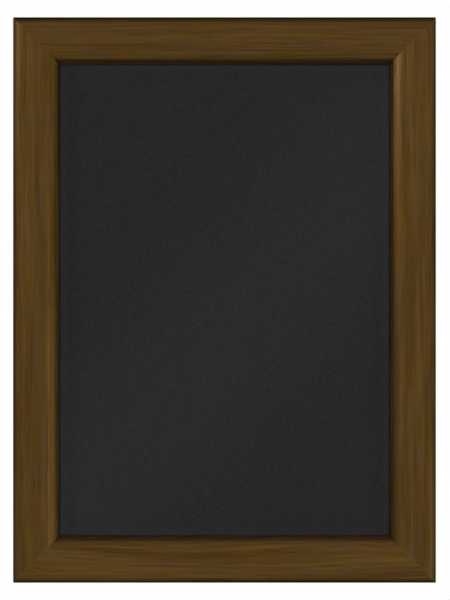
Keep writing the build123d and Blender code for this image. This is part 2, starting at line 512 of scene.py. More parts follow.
class FilmShade(Shade):
    """The film of one rail while its nodes are being made, with the rail's measures in millimetres."""

    def __init__(self, section: Section, pattern: Pattern, stray: Marks) -> None:
        """Makes the empty material and bends its grain.

        Args:
            section: The rail's section.
            pattern: What differs from one rail to the next.
            stray: The large marks by which the grain strays sideways.
        """
        super().__init__(f"wood_film_{section.side.word}")
        self.pattern = pattern
        self.half_length = section.half_length / MM
        self.s, across, self.d = self.measures(*section.axes)
        self.u = self.math("ADD", across, section.reach / MM)
        strays = self.noise((self.s, self.u, self.d), stray.varied(1.0, pattern.seed))
        self.bent_u = self.wander(self.u, strays, pattern.bend)

    def grain(self, marks: Marks) -> Socket:
        """Adds a noise of about 0 to 1, whose marks lie along the bent grain."""
        marks = marks.varied(self.pattern.width, self.pattern.seed)
        return self.noise((self.s, self.bent_u, self.d), marks)

    def grain_marks(self, marks: Marks, high: float = 1.0) -> Socket:
        """Adds marks along the bent grain, spread over 0 to a highest number."""
        return self.remap(self.grain(marks), *marks.span, 0.0, high)


@dataclass(frozen=True)
class WoodFilm:
    """The dark wood-effect film on the front of a snap rail. Sizes are in millimetres.

    Where a thing lies, starts or ends is measured inwards from the rail's outer edge. A depth is how much
    the marks change the tone, and a relief how much they change the surface. The fibres break up the
    painted highlight along the arris, but for its unbroken share. The lighter line at the mitres, part wear
    and part painted highlight, changes from that of one end to that of the other within mitre_change of the
    rail's middle. The rim, the foot of the bevel and the lip carry painted shade.
    """

    red: Colour = linear(74, 51, 16)
    olive: Colour = linear(69, 53, 16)
    bloom: Colour = linear(71, 53, 34)
    # the lighter colour of the painted arris highlight and of the worn, lit mitres
    worn: Colour = linear(114, 89, 46)
    sheen_tint: Colour = (1.0, 0.5, 0.15)
    stray: Marks = Marks((150.0, 38.0, 38.0), detail=0.0, seed=31.0)
    streak: Marks = Marks((130.0, 2.1, 2.1), detail=4.0, roughness=0.55)
    streak_depth: float = 0.55
    fibre: Marks = Marks((30.0, 0.8, 0.8), detail=2.0, roughness=0.55, seed=3.1)
    fibre_depth: float = 0.3
    fibre_relief: float = 0.3
    band: Marks = Marks((330.0, 6.0, 6.0), detail=2.0, span=(0.32, 0.68), roughness=0.55, seed=5.7)
    band_depth: float = 0.28
    pore: Marks = Marks((3.0, 0.22, 0.22), detail=1.0, span=(0.62, 0.7), roughness=0.55, seed=9.3)
    pore_depth: float = 0.2
    pore_relief: float = 0.8
    hue_mottle: Marks = Marks((34.0, 3.2, 3.2), detail=2.0, span=(0.35, 0.65), roughness=0.55, seed=20.4)
    bloom_mottle: Marks = replace(hue_mottle, seed=25.8)
    bloom_share: float = 0.6
    ring_warp: Marks = Marks((95.0, 26.0, 26.0), detail=1.0, roughness=0.55, seed=12.9)
    ring_drift: float = 24.0
    ring_pitch: float = 3.6
    ring_width: float = 0.75
    ring_fade: Marks = Marks((70.0, 3.6, 3.6), detail=1.0, span=(0.4, 0.6), roughness=0.55, seed=15.2)
    ring_depth: float = 0.25
    relief: float = 0.03
    rim_start: float = 0.2
    gleam_rise: tuple[float, float] = (1.2, 3.5)
    gleam_fall: tuple[float, float] = (3.7, 7.6)
    arris: float = 30.9
    arris_width: float = 1.1
    arris_unbroken: float = 0.5
    lip_start: float = 37.2
    lip_end: float = 39.6
    lip_tint: Colour = (1.0, 1.18, 2.3)
    lip_tint_start: float = 35.0
    mitre_width: float = 0.9
    mitre_change: float = 1.0
    roughness: tuple[float, float] = (0.27, 0.39)
    gloss_level: float = 0.4

    def make(self, section: Section, pattern: Pattern) -> Material:
        """Makes the film of one rail, with its grain along that rail.

        Args:
            section: The rail's section.
            pattern: What differs from one rail to the next.

        Returns:
            The material.
        """
        shade = FilmShade(section, pattern, self.stray)
        fibres, pores, streaks, bands, hues = (
            shade.grain_marks(marks)
            for marks in (self.fibre, self.pore, self.streak, self.band, self.hue_mottle)
        )
        tone = shade.layered(
            1 - (self.streak_depth + self.fibre_depth + self.band_depth) / 2,
            (pores, -self.pore_depth),
            (streaks, self.streak_depth),
            (fibres, self.fibre_depth),
            (bands, self.band_depth),
            (self.rings(shade), -self.ring_depth * pattern.rings),
        )
        colour = shade.blend(hues, self.olive, self.red)
        colour = shade.blend(shade.grain_marks(self.bloom_mottle, self.bloom_share), colour, self.bloom)
        colour = shade.blend(self.wear(shade, fibres), colour, self.worn)
        on_bevel = shade.remap(shade.u, self.arris, self.arris + self.arris_width)
        # painted shade on the lip: its tint turns the darkened print greyer and bluer
        on_lip = shade.remap(shade.u, self.lip_tint_start, self.lip_end)
        # painted light and shade: each rail's bevel is tinted lighter or darker by how the light falls on
        # it
        for where, tint in ((on_bevel, pattern.bevel_tint), (on_lip, self.lip_tint)):
            colour = shade.blend(where, colour, shade.blend(1.0, colour, tint, "MULTIPLY"))
        # painted shade of the rim, bevel and lip, and the outer edge's painted highlight
        rim, bevel, lip_shade, gleam = self.fades(shade)
        gloss = shade.remap(on_bevel, 0.0, 1.0, self.gloss_level, self.gloss_level * pattern.bevel_gloss)
        relief = shade.layered(streaks, (fibres, self.fibre_relief), (pores, -self.pore_relief))
        return shade.finished(
            Base_Color=shade.darken(colour, shade.product(tone, pattern.level, rim, bevel, lip_shade, gleam)),
            Roughness=shade.remap(fibres, 0.0, 1.0, *self.roughness),
            Specular_IOR_Level=shade.product(gloss, rim, rim, bevel),
            Specular_Tint=self.sheen_tint,
            Normal=shade.bump(relief, self.relief),
        )

    def rings(self, shade: FilmShade) -> Socket:
        """Draws the wandering growth lines of flat-sawn wood.

        Args:
            shade: The rail's material.

        Returns:
            The socket, which is 1 on a line.
        """
        spot = shade.wander(shade.bent_u, shade.grain(self.ring_warp), self.ring_drift)
        off_line = shade.math("PINGPONG", spot, self.ring_pitch / 2)
        lines = shade.fall(off_line, 0.0, self.ring_width)
        return shade.product(lines, shade.grain_marks(self.ring_fade))

    def wear(self, shade: FilmShade, fibres: Socket) -> Socket:
        """Draws the lighter print: painted highlight on the arris, wear and painted highlight at the
        mitres.

        Args:
            shade: The rail's material.
            fibres: The finest marks, which break up the highlight on the arris.

        Returns:
            The socket, which is 0 where the print has neither wear nor painted highlight.
        """
        half, pattern = shade.half_length, shade.pattern
        off_arris = shade.math("ABSOLUTE", shade.math("SUBTRACT", shade.u, self.arris))
        # painted highlight along the arris, stronger towards one end, broken up by the fibres
        arris_lit = shade.product(
            shade.fall(off_arris, 0.0, self.arris_width),
            shade.remap(shade.s, -half, half, 0.0, pattern.arris_wear),
            shade.layered(self.arris_unbroken, (fibres, 1 - self.arris_unbroken)),
        )
        inwards = shade.math("ADD", shade.math("ABSOLUTE", shade.s), shade.u)
        off_mitre = shade.math("SUBTRACT", half, inwards)
        # the lighter line at the mitres: part wear, part painted highlight
        mitre_worn_and_lit = shade.product(
            shade.fall(off_mitre, 0.0, self.mitre_width),
            shade.remap(shade.s, -self.mitre_change, self.mitre_change, *pattern.mitre_wear),
        )
        return shade.math("MAXIMUM", arris_lit, mitre_worn_and_lit)

    def fades(self, shade: FilmShade) -> tuple[Socket, Socket, Socket, Socket]:
        """Draws the painted shade and highlight across a rail.

        Args:
            shade: The rail's material.

        Returns:
            The tone's factors: painted shade of rim, bevel and lip, and painted highlight of the outer
            edge.
        """
        u, pattern = shade.u, shade.pattern
        # painted shade: the tone darkens towards the rounded outer edge, as the light falls off there
        rim = shade.remap(u, self.rim_start, pattern.rim_end, pattern.rim_level, 1.0)
        # painted shade: the bevel darkens towards its foot by the lip
        bevel = shade.remap(u, *pattern.bevel_fade, 1.0, pattern.bevel_level)
        # painted shade: the lip darkens towards its end by the board
        lip_shade = shade.remap(u, self.lip_start, self.lip_end, 1.0, pattern.lip_level)
        # painted highlight: the outer edge is lighter near the start of the rail
        near_edge = shade.product(shade.remap(u, *self.gleam_rise), shade.fall(u, *self.gleam_fall))
        near_start = shade.remap(shade.s, -shade.half_length, 0.0, pattern.gleam, 0.0)
        return rim, bevel, lip_shade, shade.math("MULTIPLY_ADD", near_edge, near_start, 1.0)


@dataclass(frozen=True)
class DrawnAluminium:
    """Bare extruded aluminium, with the lines that the die leaves along it. Sizes are in millimetres."""

    light: Colour = (0.58, 0.58, 0.59)
    dark: Colour = (0.46, 0.46, 0.48)
    dark_share: float = 0.1
    line: Marks = Marks((260.0, 0.28, 0.28))
    line_level: float = 0.8
    line_roughness: float = 0.14
    stain: Marks = Marks((26.0, 26.0, 26.0), span=(0.35, 0.7))
    stain_share: float = 0.4
    stain_roughness: float = 0.06
    roughness: float = 0.36
    relief: float = 0.012

    def make(self, section: Section) -> Material:
        """Makes the aluminium of one rail.

        Args:
            section: The rail's section, which gives the direction of the lines.

        Returns:
            The material.
        """
        shade = Shade(f"drawn_aluminium_{section.side.word}")
        measures = shade.measures(*section.axes)
        lines, stains = (shade.marks(measures, marks) for marks in (self.line, self.stain))
        darkness = shade.layered(self.dark_share, (stains, self.stain_share))
        colour = shade.blend(darkness, self.light, self.dark)
        dullness = ((stains, self.stain_roughness), (lines, self.line_roughness))
        return shade.finished(
            Base_Color=shade.darken(colour, shade.remap(lines, 0.0, 1.0, self.line_level, 1.0)),
            Metallic=1.0,
            Roughness=shade.layered(self.roughness, *dullness),
            Normal=shade.bump(lines, self.relief),
        )


@dataclass(frozen=True)
class SawnAluminium:
    """Aluminium as a mitre saw leaves it, with fine arcs across the cut. Sizes are in millimetres."""

    colour: Colour = (0.4, 0.4, 0.41)
    colour_level: float = 0.95
    blade_middle: tuple[float, float, float] = (0.0, 170.0, 0.0)
    tooth_pitch: float = 0.34
    grime: Marks = Marks((3.0, 3.0, 3.0), span=(0.35, 0.7))
    grime_share: float = 0.4
    grime_roughness: float = 0.2
    roughness: float = 0.48
    relief: float = 0.02

    def make(self) -> Material:
        """Makes the material, with arcs round the middle of the saw's blade.

        Returns:
            The material.
        """
        shade = Shade("sawn_aluminium")
        place = shade.position()
        radius = shade.between("DISTANCE", place, self.blade_middle)
        arcs = shade.math("DIVIDE", shade.math("PINGPONG", radius, self.tooth_pitch), self.tooth_pitch)
        grime = shade.marks(shade.split(place), self.grime)
        level = shade.layered(self.colour_level, (grime, -self.grime_share))
        return shade.finished(
            Base_Color=shade.darken(self.colour, level),
            Metallic=1.0,
            Roughness=shade.layered(self.roughness, (grime, self.grime_roughness)),
            Normal=shade.bump(arcs, self.relief),
        )


@dataclass(frozen=True)
class BrownCoat:
    """The base rails' dark brown coating, with a fine orange-peel surface. Sizes are in millimetres."""

    light: Colour = linear(63, 44, 22)
    dark: Colour = linear(54, 37, 18)
    scuffed: Colour = linear(98, 76, 48)
    peel: Marks = Marks((1.1, 1.1, 1.1), detail=2.0)
    cloud: Marks = Marks((38.0, 38.0, 38.0))
    scuff: Marks = Marks((22.0, 0.3, 0.3), detail=1.0, span=(0.68, 0.76), seed=4.0)
    scuff_share: float = 0.2
    scuff_roughness: float = 0.15
    roughness: float = 0.46
    relief: float = 0.02
    gloss_level: float = 0.22

    def make(self, section: Section) -> Material:
        """Makes the coating of one rail.

        Args:
            section: The rail's section, along which handling scuffs run.

        Returns:
            The material.
        """
        shade = Shade(f"brown_coat_{section.side.word}")
        measures = shade.measures(*section.axes)
        scuffs = shade.marks(measures, self.scuff)
        colour = shade.blend(shade.marks(measures, self.cloud), self.dark, self.light)
        return shade.finished(
            Base_Color=shade.blend(shade.product(scuffs, self.scuff_share), colour, self.scuffed),
            Roughness=shade.layered(self.roughness, (scuffs, self.scuff_roughness)),
            Specular_IOR_Level=self.gloss_level,
            Normal=shade.bump(shade.noise(measures, self.peel), self.relief),
        )


@dataclass(frozen=True)
class ChalkPaint:
    """Matt black board paint with fine grit, wiped chalk, painted sheen and painted light. Sizes are in
    millimetres.
    """

    deep: Colour = linear(21, 21, 24)
    # the light end of the board's tone, for chalk as well as for the painted sheen and light
    hazed: Colour = linear(45, 45, 48)
    base_share: float = 0.29
    grit: Marks = Marks((2.3, 2.3, 2.3), roughness=0.6)
    grit_share: float = 0.45
    grit_roughness: float = 0.1
    wipe: Marks = Marks((110.0, 16.0, 30.0))
    wipe_share: float = 0.05
    wipe_angle: float = math.radians(46.7)
    haze_middle: float = -21.7
    haze_reach: float = 130.0
    haze_share: float = 0.23
    dust_reach: float = 230.0
    dust_share: float = 0.16
    edge_reach: float = 9.0
    edge_share: float = 0.24
    roughness: float = 0.52
    relief: float = 0.03
    gloss_level: float = 0.12

    def make(self) -> Material:
        """Makes the paint, with a painted sheen along one diagonal.

        Dust and painted light make it lighter low down, and painted light makes it lighter at the lips.

        Returns:
            The material.
        """
        shade = Shade("chalk_paint")
        cos, sin = math.cos(self.wipe_angle), math.sin(self.wipe_angle)
        axes = ((cos, 0.0, sin), (-sin, 0.0, cos), FRONT, RIGHT, UP)
        along, across, forward, x, z = shade.measures(*axes)
        grit = shade.noise((along, across, forward), self.grit)
        specks = shade.remap(grit, *self.grit.span)
        from_middle = shade.math("ABSOLUTE", shade.math("SUBTRACT", across, self.haze_middle))
        tone = shade.layered(
            self.base_share - (self.grit_share + self.wipe_share + self.dust_share) / 2,
            (specks, self.grit_share),
            (shade.marks((along, across, forward), self.wipe), self.wipe_share),
            # painted sheen: a lighter band along one diagonal, where a soft light glances off the board
            (shade.fall(from_middle, 0.0, self.haze_reach), self.haze_share),
            # lighter towards the bottom: settled dust, and painted light that evens out the lamps' fall-off
            # there
            (shade.fall(z, -self.dust_reach, self.dust_reach), self.dust_share),
            # painted light by the lips, over their shade on the board
            (self.edge_dust(shade, x, z), self.edge_share),
        )
        return shade.finished(
            Base_Color=shade.blend(tone, self.deep, self.hazed),
            Roughness=shade.layered(self.roughness, (specks, self.grit_roughness)),
            Specular_IOR_Level=self.gloss_level,
            Normal=shade.bump(grit, self.relief),
        )

    def edge_dust(self, shade: Shade, x: Socket, z: Socket) -> Socket:
        """Draws painted light on the board along the four lips, where their shade would fall.

        Args:
            shade: The material.
            x: The distance to the right of the board's middle.
            z: The distance above it.

        Returns:
            The socket, which is 1 at the lips.
        """
        opening = (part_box("snap_rail_right")[0].x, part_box("snap_rail_top")[0].z)
        off_lips = (
            shade.math("SUBTRACT", shade.math("ABSOLUTE", measure), half / MM)
            for measure, half in zip((x, z), opening)
        )
        return shade.remap(shade.math("MAXIMUM", *off_lips), -self.edge_reach, 0.0)


class BoardFace(Enum):
    """The two surfaces of hardboard: pressed smooth, or with the mark of the mesh it was pressed on."""

    SMOOTH = "smooth"
    SCREEN = "screen"


@dataclass(frozen=True)
class Hardboard:
    """Brown pressed fibre board. Sizes are in millimetres."""

    light: Colour = linear(158, 124, 88)
    dark: Colour = linear(116, 84, 54)
    light_share: float = 0.05
    fibre: Marks = Marks((2.6, 0.5, 0.5), span=(0.42, 0.72), roughness=0.6, cross_seed=7.0)
    fibre_share: float = 0.75
    fibre_roughness: float = 0.1
    fibre_relief: float = 0.15
    cloud: Marks = Marks((45.0, 45.0, 45.0))
    cloud_share: float = 0.16
    mesh_pitch: float = 1.7
    mesh_share: float = 0.4
    mesh_relief: float = 0.22
    smooth_relief: float = 0.02
    roughness: float = 0.62
    gloss_level: float = 0.3

    def make(self, face: BoardFace) -> Material:
        """Makes one surface of the board.

        Args:
            face: Which of the two surfaces it is.

        Returns:
            The material.
        """
        shade = Shade(f"hardboard_{face.value}")
        measures = x, _, z = shade.split(shade.position())
        fibres = shade.crossed_marks(measures, self.fibre)
        cloud = shade.marks(measures, self.cloud)
        tone = shade.layered(self.light_share, (cloud, self.cloud_share), (fibres, self.fibre_share))
        height, relief = fibres, self.smooth_relief
        if face is BoardFace.SCREEN:
            half = self.mesh_pitch / 2
            waves = (shade.remap(shade.math("PINGPONG", measure, half), 0.0, half) for measure in (x, z))
            height = shade.layered(shade.product(*waves), (fibres, self.fibre_relief))
            relief = self.mesh_relief
            # painted shade: the board is darker in the hollows of the mesh mark
            tone = shade.product(tone, shade.layered(1 - self.mesh_share, (height, self.mesh_share)))
        return shade.finished(
            Base_Color=shade.blend(tone, self.dark, self.light),
            Roughness=shade.layered(self.roughness, (fibres, self.fibre_roughness)),
            Specular_IOR_Level=self.gloss_level,
            Normal=shade.bump(height, relief),
        )


@dataclass(frozen=True)
class Steel:
    """A steel finish whose tone wanders between three colours. Sizes are in millimetres."""

    name: str
    tones: tuple[Colour, ...]
    patch: float
    scratch: tuple[float, float]
    roughness: float
    relief: float
    scratch_roughness: float = 0.14

    def make(self) -> Material:
        """Makes the material, with its patches of colour and its fine scratches both ways.

        Returns:
            The material.
        """
        shade = Shade(self.name)
        measures = shade.split(shade.position())
        patch = Marks((self.patch,) * 3, detail=4.0, span=(0.28, 0.72), roughness=0.6)
        patches = shade.marks(measures, patch)
        length, width = self.scratch
        scratch = Marks((length, width, width), detail=2.0, span=(0.45, 0.75), cross_seed=6.0)
        scratches = shade.crossed_marks(measures, scratch)
        return shade.finished(
            Base_Color=shade.ramp(patches, self.tones),
            Metallic=1.0,
            Roughness=shade.layered(self.roughness, (scratches, self.scratch_roughness)),
            Normal=shade.bump(scratches, self.relief),
        )


ZINC_PLATE = Steel(
    name="zinc_plate",
    tones=((0.44, 0.47, 0.54), (0.6, 0.6, 0.6), (0.64, 0.61, 0.5)),
    patch=7.0,
    scratch=(9.0, 0.2),
    roughness=0.27,
    relief=0.008,
)
BLACK_OXIDE = Steel(
    name="black_oxide",
    tones=((0.02, 0.02, 0.024), (0.035, 0.035, 0.04), (0.07, 0.066, 0.062)),
    patch=1.6,
    scratch=(1.2, 0.15),
    roughness=0.36,
    relief=0.008,
)
BLUED_SPRING = Steel(
    name="blued_spring",
    tones=((0.1, 0.12, 0.2), (0.2, 0.21, 0.25), (0.3, 0.26, 0.2)),
    patch=11.0,
    scratch=(14.0, 0.18),
    roughness=0.3,
    relief=0.006,
)


@dataclass(frozen=True)
class FloorPaint:
    """The floor's pale matt paint, which turns to the surround's white. Sizes are in millimetres."""

    colour: Colour = (0.78, 0.78, 0.77)
    grain: Marks = Marks((4.0, 4.0, 4.0))
    grain_share: float = 0.04
    roughness: float = 0.9
    gloss_level: float = 0.1

    def make(self, clear: float, reach: float) -> Material:
        """Makes the material.

        Args:
            clear: How far from the floor's middle it starts to turn white.
            reach: How far from there it is all white.

        Returns:
            The material.
        """
        shade = Shade("pale_floor")
        place = shade.position()
        rim = shade.remap(shade.between("DISTANCE", place, MIDDLE), clear, reach)
        grain = shade.noise(shade.split(place), self.grain)
        level = shade.layered(1 - self.grain_share / 2, (grain, self.grain_share))
        glow = shade.add("ShaderNodeEmission", {"Color": WHITE})
        mixed = shade.mixed(shade.product(rim, shade.seen_directly()), shade.surface, glow)
        shade.plug(shade.output.inputs["Surface"], mixed)
        return shade.finished(
            Base_Color=shade.darken(self.colour, level),
            Roughness=self.roughness,
            Specular_IOR_Level=self.gloss_level,
        )


def paint(
    name: str, materials: Sequence[Material], choose: Callable[[Facet], int] = lambda facet: 0
) -> str:
    """Gives a node new materials in place of those that it has.

    Args:
        name: The node's name.
        materials: The materials.
        choose: What gives the number of a facet's material.

    Returns:
        The node's name.
    """
    data = frame["nodes"][name].data
    data.materials.clear()
    for material in materials:
        data.materials.append(material)
    for facet in data.polygons:
        facet.material_index = int(choose(facet))
    return name


class RailFinish(IntEnum):
    """The finishes of a snap rail, in the order of its materials."""

    FILM = 0
    DRAWN = 1
    SAWN = 2


@dataclass
class SnapRails:
    """The four hinged rails: film outside, drawn aluminium inside and sawn aluminium at the ends."""

    film: WoodFilm = field(default_factory=WoodFilm)
    aluminium: DrawnAluminium = field(default_factory=DrawnAluminium)
    sawn: SawnAluminium = field(default_factory=SawnAluminium)
    patterns: dict[Side, Pattern] = field(default_factory=lambda: dict(PATTERNS))
    front_slant: float = 0.05
    lip_slant: float = 0.5
    knuckle_edge: float = 2.9 * MM
    knuckle_level: float = 14.9 * MM
    face_level: float = 15.9 * MM
    bevel_start: float = 30.0 * MM
    lip_start: float = 36.0 * MM

    def finish(self, section: Section, facet: Facet) -> RailFinish:
        """Chooses a facet's finish. The film covers the knuckle's front, the face, the bevel and the lip.

        Args:
            section: The rail's section.
            facet: The facet.

        Returns:
            The finish.
        """
        if section.is_cut(facet):
            return RailFinish.SAWN
        u, d, _ = section.measure(facet.center)
        knuckle = u < self.knuckle_edge and d > self.knuckle_level
        if facet.normal.dot(FRONT) > self.front_slant:
            filmed = knuckle or d > self.face_level or u > self.bevel_start
        else:
            filmed = facet.normal.dot(section.inward) > self.lip_slant and u > self.lip_start
        return RailFinish.FILM if filmed else RailFinish.DRAWN

    def dress(self) -> list[str]:
        """Gives each facet of the four rails its finish.

        Returns:
            The names of the nodes.
        """
        sawn = self.sawn.make()
        names = []
        for side in Side:
            section = Section(side)
            materials = (self.film.make(section, self.patterns[side]), self.aluminium.make(section), sawn)
            names.append(paint(f"snap_rail_{side.word}", materials, partial(self.finish, section)))
        return names


@dataclass
class BaseRails:
    """The four fixed rails with their brown coating, and sawn aluminium at the mitres."""

    coat: BrownCoat = field(default_factory=BrownCoat)
    sawn: SawnAluminium = field(default_factory=SawnAluminium)

    def dress(self) -> list[str]:
        """Gives each facet of the four rails its finish.

        Returns:
            The names of the nodes.
        """
        sawn = self.sawn.make()
        names = []
        for side in Side:
            section = Section(side)
            materials = (self.coat.make(section), sawn)
            names.append(paint(f"base_rail_{side.word}", materials, section.is_cut))
        return names


@dataclass
class Panels:
    """The chalkboard and the hardboard back panel behind it."""

    chalk: ChalkPaint = field(default_factory=ChalkPaint)
    hardboard: Hardboard = field(default_factory=Hardboard)
    front_slant: float = 0.1
    back_slant: float = -0.5

    def dress(self) -> list[str]:
        """Gives the two panels their finishes.

        Returns:
            The names of the nodes.
        """
        smooth, screen = (self.hardboard.make(face) for face in BoardFace)
        sheets = (
            ("chalkboard", (self.chalk.make(), smooth), self.front_slant),
            ("back_panel", (smooth, screen), self.back_slant),
        )
        return [
            paint(name, finishes, lambda facet, slant=slant: facet.normal.dot(FRONT) < slant)
            for name, finishes, slant in sheets
        ]


@dataclass
class CornerKeys:
    """The four zinc-plated corner keys."""

    finish: Steel = ZINC_PLATE

    def dress(self) -> list[str]:
        """Gives the keys their finish, and their names."""
        materials = [self.finish.make()]
        return [paint(name, materials) for name in frame["nodes"] if name.startswith("corner_key")]


def skin(mesh: Mesh, rings: Sequence[Sequence[Vert]]) -> None:
    """Joins each ring of points to the next with a band of facets.

    Args:
        mesh: The mesh that has the points.
        rings: The rings, which have the same number of points.
    """
    for one, two in zip(rings, rings[1:]):
        for i in range(len(one)):
            j = (i + 1) % len(one)
            mesh.faces.new((one[i], one[j], two[j], two[i]))


def new_object(name: str, mesh: Mesh, material: Material) -> Piece:
    """Turns a built mesh into an object of the scene.

    Args:
        name: The object's name.
        mesh: Its mesh, which is freed.
        material: Its finish.

    Returns:
        The object.
    """
    data = bpy.data.meshes.new(name)
    mesh.to_mesh(data)
    mesh.free()
    data.materials.append(material)
    thing = bpy.data.objects.new(name, data)
    bpy.context.scene.collection.objects.link(thing)
    return thing


def new_piece(name: str, mesh: Mesh, material: Material) -> Piece:
    """Turns a built mesh into a smooth-shaded piece, whose sharp edges stay sharp.

    Args:
        name: The piece's name.
        mesh: Its mesh, which is freed.
        material: Its finish.

    Returns:
        The piece.
    """
    bmesh.ops.recalc_face_normals(mesh, faces=mesh.faces)
    piece = new_object(name, mesh, material)
    piece.data.shade_smooth()
    piece.data.set_sharp_from_angle(angle=SHARP_FROM)
    return piece


@dataclass
class LeafSprings:
    """The eight leaf springs, each a bowed strip with both its long edges rolled into open curls."""

    finish: Steel = BLUED_SPRING
    curl_radius: float = 0.8 * MM
    thickness: float = 0.5 * MM
    curl_turn: float = math.radians(290.0)
    neck_turn: float = math.radians(65.0)
    curl_steps: int = 22
    neck_steps: int = 6
    bow_steps: int = 36
    bow_depth_share: float = 0.19
    bow_start_share: float = 0.14
    edge_round: float = 0.06 * MM
    round_segments: int = 2
    round_from: float = math.radians(50.0)

    def curl(self) -> list[Vector]:
        """Gives the middle line of a curl round the origin, whose strip leaves along the X axis.

        A short neck bends back from the curl, so that the strip lies in line with the curl's middle.

        Returns:
            The line's points, from the curl's free end to the end of the neck.
        """
        roll = self.curl_radius - self.thickness / 2
        last = self.neck_turn - math.pi / 2
        points = []
        for i in range(self.curl_steps + 1):
            angle = last - self.curl_turn * (1 - i / self.curl_steps)
            points.append(Vector((math.cos(angle), math.sin(angle), 0)) * roll)
        start = points[-1]
        neck = -start.y / (1 - math.cos(self.neck_turn))
        middle = start + Vector((math.sin(self.neck_turn), -math.cos(self.neck_turn), 0)) * neck
        for i in range(1, self.neck_steps + 1):
            heading = self.neck_turn * (1 - i / self.neck_steps)
            points.append(middle + Vector((-math.sin(heading), math.cos(heading), 0)) * neck)
        return points

    def centreline(self, chord: float) -> list[Vector]:
        """Gives the strip's middle line, in a plane where the chord between its two curls is the X axis.

        Args:
            chord: The distance between the middles of the two curls.

        Returns:
            The line's points, from the free end of one curl to the free end of the other.
        """
        first = self.curl()
        last = [Vector((chord - point.x, point.y, 0)) for point in reversed(first)]
        bow = []
        span = 1 - 2 * self.bow_start_share
        for i in range(self.bow_steps + 1):
            inside = i / self.bow_steps
            dip = self.bow_depth_share * chord * math.sin(math.pi * inside) ** 2
            bow.append(Vector(((self.bow_start_share + span * inside) * chord, -dip, 0)))
        return first + bow + last

    def build(self, name: str, section: Section, material: Material) -> Piece:
        """Builds one spring where its solid is.

        Args:
            name: The node that it replaces.
            section: The section of its rail.
            material: Its finish.

        Returns:
            The spring.
        """
        ends = zip(*(section.measure(corner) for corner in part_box(name)))
        (low_u, high_u), (low_d, high_d), (low_s, high_s) = (sorted(pair) for pair in ends)
        foot = Vector((low_u + self.curl_radius, low_d + self.curl_radius))
        chord = Vector((high_u - self.curl_radius, high_d - self.curl_radius)) - foot
        across = Vector((-chord.y, chord.x)).normalized()
        line = self.centreline(chord.length)
        mesh = bmesh.new()
        rings = []
        for i, point in enumerate(line):
            heading = (line[min(i + 1, len(line) - 1)] - line[max(i - 1, 0)]).normalized()
            offset = Vector((-heading.y, heading.x, 0)) * (self.thickness / 2)
            ring = []
            for face, s in ((-1, low_s), (1, low_s), (1, high_s), (-1, high_s)):
                spot = point + offset * face
                flat = foot + chord.normalized() * spot.x + across * spot.y
                ring.append(mesh.verts.new(section.place(flat.x, flat.y, s)))
            rings.append(ring)
        skin(mesh, rings)
        for ring in (rings[0], rings[-1]):
            mesh.faces.new(ring)
        spring = new_piece(f"{name}_leaf", mesh, material)
        bevel = spring.modifiers.new("rounded_edges", "BEVEL")
        bevel.width, bevel.segments = self.edge_round, self.round_segments
        bevel.limit_method, bevel.angle_limit = "ANGLE", self.round_from
        return spring

    def dress(self) -> list[str]:
        """Builds the eight springs and lets each ride on its rail's spring body.

        Returns:
            The names of the pieces.
        """
        material = self.finish.make()
        names = []
        for side in Side:
            for name in frame["record"]["behaviour"]["bodies"][f"springs_{side.word}"]:
                spring = self.build(name, Section(side), material)
                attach(spring, f"springs_{side.word}")
                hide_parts(name)
                names.append(spring.name)
        return names


